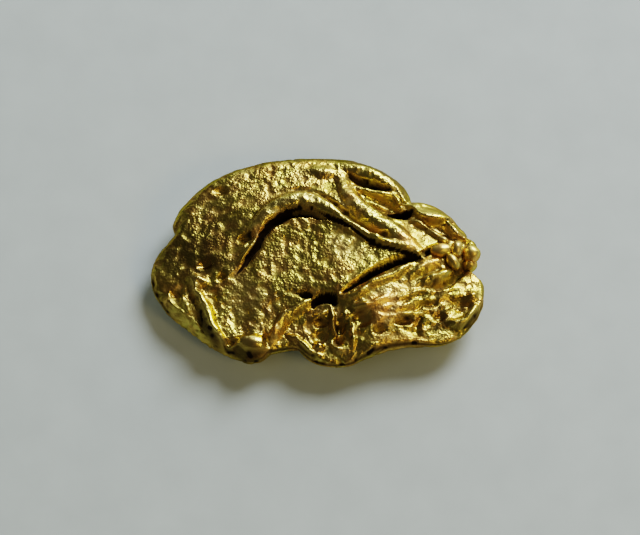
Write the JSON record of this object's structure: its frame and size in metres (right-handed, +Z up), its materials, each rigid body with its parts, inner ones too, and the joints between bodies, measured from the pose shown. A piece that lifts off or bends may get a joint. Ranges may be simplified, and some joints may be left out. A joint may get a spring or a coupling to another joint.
{
  "type": "gold nugget",
  "caption": "Flat folded lump of river-worn native gold with a curved ridge over a shallow bowl, deep creases and a grainy skin.",
  "frame": {"origin": "bottom centre of the bounding box, on the plane the nugget rests on", "axes": "+X along the nugget's length towards its beaded end, +Y across it towards the side with the curved ridge, +Z up through its thickness, away from the worn flat patch it rests on"},
  "size_m": [0.014, 0.0096, 0.0029],
  "materials": {
    "gold": "native gold, river-worn: bright on the ridges, grainy between them, dark in the creases"
  },
  "bodies": {
    "root": {"nugget": "gold"}
  },
  "joints": []
}
